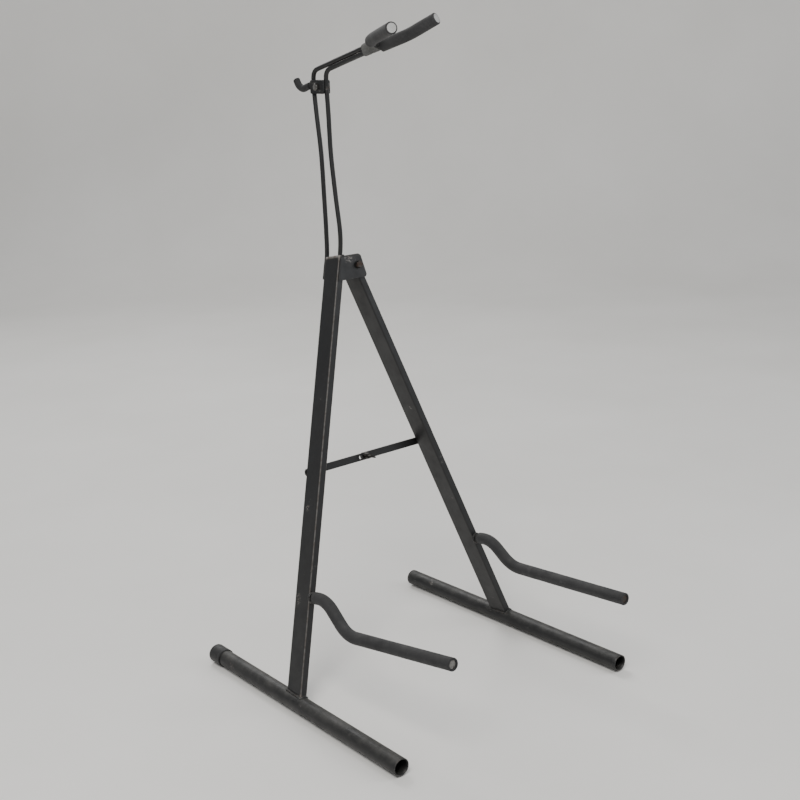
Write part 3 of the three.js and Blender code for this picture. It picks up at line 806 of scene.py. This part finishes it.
def lower_neck_path(end):
    out = 2 * GAP + ROD_R + (LEG_D / 2 if end > 0 else LEG_WALL - LEG_D / 2)

    def on_leg(v, y=out):
        return on_plane(-leg_x(v), y, v)

    foot, head = on_leg(NECK_FOOT, 0), at(0, CLAMP_Y, CLAMP_Z - 2 * MM)
    apart = ((0.14, 0.92), (0.37, 0.76), (0.62, 0.64), (0.85, 0.78), (1, 0.84))
    rising = [foot.lerp(head, t) + Vector((0, end * share * FOOT_SPREAD / 2, 0)) for t, share in apart]
    return smooth_path([on_leg(NECK_FOOT - TAIL), on_leg(NECK_FOOT - 12 * MM), on_leg(NECK_FOOT + 3 * MM),
                        *rising])


def upper_neck_path(end):
    y = CLAMP_Y + end * TOP_SPREAD / 2
    fork = FORK_RISE + (2 * ROD_R + 0.5 * MM if end > 0 else 0)
    bend = fork - (y - FORK_Y) * math.tan(NECK_RISE)
    prong = [Vector(point) * MM for point in PRONG["near" if end > 0 else "far"]]
    corners = [Vector((0, y, -1.5 * MM)), Vector((0, y, bend)), Vector((0, FORK_Y, fork)), *prong]
    return bent_path([at(p.x, p.y, CLAMP_Z + p.z) for p in corners], 10 * MM)


def neck_rods():
    for end, word, hand in ((1, "rear", "near"), (-1, "front", "far")):
        lower = rod(f"neck_lower_{word}", lower_neck_path(end), ROD_R, PAINT)
        place_piece(lower, "near_side", "black_paint", f"neck_lower_rod_{word}")
        path = upper_neck_path(end)
        total = length_of(path)
        upper = rod(f"neck_upper_{word}", part_of(path, 0, total - 3 * MM), ROD_R, PAINT)
        place_piece(upper, "near_side", "black_paint", f"neck_upper_rod_{word}")
        cover = sleeve(f"yoke_cover_{hand}", part_of(path, total - YOKE_SLEEVE, total), YOKE_R,
                       ROD_R + 0.1 * MM, YOKE_COVER_PAINTED_SHEEN, open_end=False, round_end=1.6 * MM)
        ahead = (path[-1] - path[-2]).normalized()
        place_piece(cover, "near_side", "sleeve_rubber", f"yoke_sleeve_{hand}")
        profile = [(YOKE_R - 1.7 * MM, -0.3 * MM), (YOKE_R - 1.9 * MM, 0.02 * MM), (0.2 * MM, 0.05 * MM)]
        # The tip disc's pale colour is partly a painted highlight.
        disc = turned(f"yoke_tip_{hand}", profile, path[-1] + ahead * 0.1 * MM, ahead, TIP_PAINTED_HIGHLIGHT, 40)
        place_piece(disc, "near_side", "sleeve_rubber")
    for flank in (-1, 1):
        line = [on_plane(-leg_x(v) + flank * 2.6 * MM, LEG_D / 2 + 0.8 * MM, v)
                for v in (NECK_FOOT - TAIL + 2 * MM + k * 0.5 * MM for k in range(40))]
        bead = weld_bead(f"neck_rear_weld_{'in' if flank > 0 else 'out'}", line, 1.3 * MM, WELD, seed=flank)
        place_piece(bead, "near_side", "black_paint")
    horseshoe = ((-3.5, 7.5), (-4, 4.5), (-3.5, 1.8), (0, 1), (3.5, 1.8), (4, 4.5), (3.5, 7.5))
    rim = [on_plane(-leg_x(NECK_FOOT) + x * MM, -LEG_D / 2 + y * MM, NECK_FOOT + 0.6 * MM)
           for x, y in horseshoe]
    place_piece(weld_bead("neck_front_weld", smooth_path(rim, 8), 1 * MM, WELD), "near_side", "black_paint")


def yoke_binding():
    """Tape wound round both upper rods just behind the two sleeves."""
    strands, steps, count, lap_width, pinch = [], 80, 72, 5.5 * MM, 0.6 * MM
    for end in (1, -1):
        path = upper_neck_path(end)
        last = length_of(path) - YOKE_SLEEVE - 1 * MM
        strands.append([part_of(path, last - BINDING_LENGTH * (1 - k / steps), last)[0]
                        for k in range(steps)])
    middles = [(a + b) / 2 for a, b in zip(*strands)]
    rings, travelled = [], 0.0
    for i, (point, side, up) in enumerate(frames_along(middles)):
        if i:
            travelled += (point - middles[i - 1]).length
        half = strands[0][i] - point
        half -= side.cross(up) * half.dot(side.cross(up))
        ring = []
        for k in range(count):
            a = 2 * math.pi * k / count
            way = side * math.cos(a) + up * math.sin(a)
            lap = (travelled / lap_width + k / count) % 1.0
            crease = noise.noise((point + way * YOKE_R) * 260)
            r = 4.2 * MM + 0.45 * MM * math.sqrt(1 - lap) + 0.25 * MM * crease
            lean_out = max(-1.0, min(1.0, way.dot(half.normalized()) * 2.2))
            ring.append(point + half * lean_out + way * (r - (pinch if i in (0, steps - 1) else 0)))
        rings.append(ring)
    tape = loft("yoke_tape", rings, BINDING, smooth_angle=50)
    return place_piece(tape, "near_side", "grey_binding", "yoke_binding")


def clamp():
    across = Vector((1, 0, 0))
    middle = at(0, CLAMP_Y, CLAMP_Z)
    for side, word in ((-1, "outer"), (1, "inner")):
        centre = middle + across * side * (ROD_R + GAP + PLATE / 2)
        place = basis(centre, Vector((0, 1, 0)), Vector((0, 0, 1)), across)
        outline = rounded_rect(CLAMP_W, CLAMP_H, 2 * MM)
        piece = plate(f"clamp_{word}", outline, [(0, 0, 2.8 * MM)], PLATE, place, PAINT)
        place_piece(piece, "near_side", "black_paint", f"clamp_plate_{word}")
    face = ROD_R + GAP + PLATE + GAP
    head = hex_head("clamp_bolt_head", 4.5 * MM, 3 * MM, middle - across * face, -across, STEEL)
    shank = turned("clamp_bolt_shank", thread(2.5 * MM, 2 * face + 4 * MM, 2 * face + 5.7 * MM),
                   middle - across * face, across, STEEL, 32)
    place_piece(merged("clamp_screw", [head, shank]), "near_side", "bare_steel", "clamp_bolt")
    nut = hex_head("clamp_screw_nut", 4.5 * MM, 4 * MM, middle + across * face, across, STEEL, bore=2.6 * MM)
    place_piece(nut, "near_side", "bare_steel", "clamp_nut")


def rear_hook():
    y = CLAMP_Y + TOP_SPREAD / 2 + ROD_R + 3 * GAP
    path = smooth_path([at(0, y + back * MM, CLAMP_Z + rise * MM)
                        for back, rise in ((0, 2), (9, 0), (19, -2.5), (27, 1), (33, 9))], 14)
    total = length_of(path)
    place_piece(rod("hook_wire", part_of(path, 0, total - 3 * MM), ROD_R, PAINT), "near_side", "black_paint",
                "rear_hook_rod")
    place_piece(sleeve("hook_cover", part_of(path, 3 * MM, total), HOOK_R, ROD_R + 0.1 * MM, HOOK_COVER,
                       open_end=False, round_end=1.4 * MM), "near_side", "sleeve_rubber", "rear_hook_sleeve")
    centre = path[0] + Vector((0, -0.2 * MM, 0))
    circle = [centre + Vector((math.cos(a), 0, math.sin(a))) * (ROD_R + 0.1 * MM)
              for a in (2 * math.pi * k / 50 for k in range(50))]
    place_piece(weld_bead("hook_weld", circle, 1.2 * MM, WELD, closed=True), "near_side", "black_paint")


# ---- folding brace ----
BRACE_X = leg_x(BRACE_V)
BAR_FRONT = LEG_D / 2 + 0.5 * MM
BAR_NEXT = BAR_FRONT + BAR_T + GAP


def brace_point(x, y):
    return on_plane(x, y, BRACE_V)


def brace_bar(word, left, right, front, holes):
    end_r = BAR_W / 2 / math.sin(math.radians(54))
    outline = arc(right, 0, end_r, -54, 54) + arc(left, 0, end_r, 126, 234)
    place = basis(brace_point(0, front + BAR_T / 2), PLANE_X, PLANE_UP, -PLANE_BACK)
    bar = plate(f"brace_strap_{word}", outline, [(x, 0, 2.8 * MM) for x in holes], BAR_T, place, PAINT)
    return place_piece(bar, f"brace_{word}", "black_paint", f"brace_bar_{word}")


def rivet(side, word, body, inner, bar):
    face = bar + BAR_T + GAP
    dome = [(4.2 * MM, 0), (4.2 * MM, 0.2 * MM)]
    dome += [(4.1 * MM * math.cos(math.radians(a)), 0.3 * MM + 1.1 * MM * math.sin(math.radians(a)))
             for a in range(10, 90, 10)] + [(0.1 * MM, 1.4 * MM)]
    head = turned(f"rivet_{word}_dome", dome, brace_point(side * BRACE_X, face), PLANE_BACK, DARK_STEEL, 40)
    shank = turned(f"rivet_{word}_shank", [(2.5 * MM, 0), (2.5 * MM, face - inner), (0.1 * MM, face - inner)],
                   brace_point(side * BRACE_X, inner), PLANE_BACK, DARK_STEEL, 28)
    pieces = [head, shank]
    if side > 0:
        pieces.append(turned("rivet_shoulder", [(0.1 * MM, 0), (3.8 * MM, 0), (4 * MM, 0.2 * MM),
                                                (4 * MM, bar - GAP - inner), (0.1 * MM, bar - GAP - inner)],
                             brace_point(side * BRACE_X, inner), PLANE_BACK, DARK_STEEL, 36))
    return place_piece(merged(f"brace_{word}_rivet", pieces), body, "bare_steel", f"brace_rivet_{word}")


def wing_nut():
    back = brace_point(0, BAR_FRONT - GAP)
    front = -PLANE_BACK
    hub_profile = [(2.9, 5), (2.9, 0.4), (3.2, 0), (4.4, 0), (4.6, 0.3), (4.3, 3), (3.7, 6.4), (3.4, 7),
                   (2.9, 7), (2.9, 5.2)]
    hub = turned("wing_nut_hub", [(r * MM, h * MM) for r, h in hub_profile], back, front, DARK_STEEL, 48)
    outline = [(2.2, 0.4), (4.2, 0.4), (5.6, 1.1), (7, 2.1), (8.2, 3.3), (9.2, 4.9), (9.9, 6.5), (10.2, 8),
               (9.7, 9), (8.9, 9.6), (7.8, 9.7), (6.8, 9.3), (6.2, 8), (5.2, 6.6), (4, 5.8), (2.2, 5.6)]
    blades = []
    for turn in (25, 205):
        a = math.radians(turn)
        radial = PLANE_X * math.cos(a) - PLANE_UP * math.sin(a)
        place = basis(back, radial, front, radial.cross(front))
        blade = [(x * MM, y * MM) for x, y in outline]
        blades.append(plate(f"wing_{turn}", blade, [], 1.8 * MM, place, DARK_STEEL, edge=0.6 * MM))
    return place_piece(merged("brace_wing", [hub, *blades]), "wing_nut", "bare_steel", "brace_wing_nut")


def brace_bolt():
    face = BAR_NEXT + BAR_T + GAP
    base = brace_point(0, face)
    head = hex_head("brace_bolt_head", 4.5 * MM, 3 * MM, base, PLANE_BACK, DARK_STEEL)
    reach = face - (BAR_FRONT - 13 * MM)
    shank = turned("brace_bolt_shank", thread(2.5 * MM, reach - 8 * MM, reach), base, -PLANE_BACK,
                   DARK_STEEL, 32)
    return place_piece(merged("brace_middle_bolt", [head, shank]), "brace_far", "bare_steel", "brace_bolt")


# ---- the rack ----
# The near leg carries the painted corner highlight; the far leg has plain paint.
for word, leg_paint, length, end_look in (("near", PAINT_CHIPS_AND_HIGHLIGHT, LEG_LENGTH + 15 * MM, STEEL),
                                          ("far", PAINT, LEG_LENGTH + 8 * MM, RUSTY)):
    foot_bar(word, PAINT_WORN)
    leg_tube(word, length, leg_paint)
    leg_weld(word)
    arm(word, PAINT_WORN, end_look)
foot_cap()
foot_plug()
hinge_bracket()
hinge_fixings()
neck_rods()
yoke_binding()
clamp()
rear_hook()
brace_bar("near", -BRACE_X, 0, BAR_FRONT, [-BRACE_X, -9 * MM, 0])
brace_bar("far", 0, BRACE_X, BAR_NEXT, [0, BRACE_X])
rivet(-1, "near", "near_side", LEG_D / 2 - 6 * MM, BAR_FRONT)
rivet(1, "far", "brace_far", LEG_D / 2 + GAP, BAR_NEXT)
brace_bolt()
wing_nut()


# ---- studio ----
def backdrop():
    """A pale floor that curves up behind the rack."""
    profile = [(-4.0, 0.0), (-1.0, 0.0), (1.0, 0.0), (2.6, 0.0)]
    profile += [(2.6 + 0.8 * math.sin(a), 0.8 - 0.8 * math.cos(a))
                for a in (math.radians(9 * k) for k in range(1, 11))]
    profile += [(3.4, 3.2)]
    turn = Matrix.Rotation(math.radians(CAMERA_TURN), 4, "Z")
    verts = [turn @ Vector((x, y, z)) for y, z in profile for x in (-4.5, 4.5)]
    faces = [(2 * i, 2 * i + 1, 2 * i + 3, 2 * i + 2) for i in range(len(profile) - 1)]
    floor = make_object("studio_floor", verts, faces, floor_material(), 80)


def area_light(name, place, aim, size, power, colour=(1, 1, 1)):
    data = bpy.data.lights.new(name, "AREA")
    data.shape, data.size, data.energy, data.color = "DISK", size, power, colour
    light = bpy.data.objects.new(name, data)
    light.location = place
    light.rotation_euler = (Vector(aim) - Vector(place)).to_track_quat("-Z", "Y").to_euler()
    bpy.context.scene.collection.objects.link(light)


CAMERA_TURN, CAMERA_PITCH, CAMERA_ROLL = -41.07, 15.36, 1.55
CAMERA_PLACE, CAMERA_LENS = OFFSET + Vector((-1.07505, -1.23514, 0.82)), 59.445


def studio_camera():
    data = bpy.data.cameras.new("camera")
    data.lens, data.sensor_width = CAMERA_LENS, 36
    camera = bpy.data.objects.new("camera", data)
    azimuth, pitch, roll = (math.radians(a) for a in (CAMERA_TURN, CAMERA_PITCH, CAMERA_ROLL))
    right = Vector((math.cos(azimuth), math.sin(azimuth), 0))
    level = Vector((-math.sin(azimuth), math.cos(azimuth), 0))
    ahead = level * math.cos(pitch) - Vector((0, 0, math.sin(pitch)))
    down = ahead.cross(right)
    tilted_right = right * math.cos(roll) + down * math.sin(roll)
    tilted_down = down * math.cos(roll) - right * math.sin(roll)
    camera.matrix_world = basis(CAMERA_PLACE, tilted_right, -tilted_down, -ahead)
    bpy.context.scene.collection.objects.link(camera)
    bpy.context.scene.camera = camera


backdrop()
studio_camera()
area_light("key", (-1.6, -1.2, 2.6), (0, 0, 0.35), 1.5, 62, (1, 0.98, 0.95))
area_light("fill", (1.9, -1.7, 1.5), (0, 0, 0.4), 1.8, 18, (0.95, 0.97, 1))
area_light("rim", (0.6, 2.0, 2.2), (0, 0, 0.5), 1.2, 26)
world = bpy.data.worlds.new("studio")
world.use_nodes = True
world.node_tree.nodes["Background"].inputs["Color"].default_value = (0.9, 0.92, 0.95, 1)
world.node_tree.nodes["Background"].inputs["Strength"].default_value = 0.42
bpy.context.scene.world = world
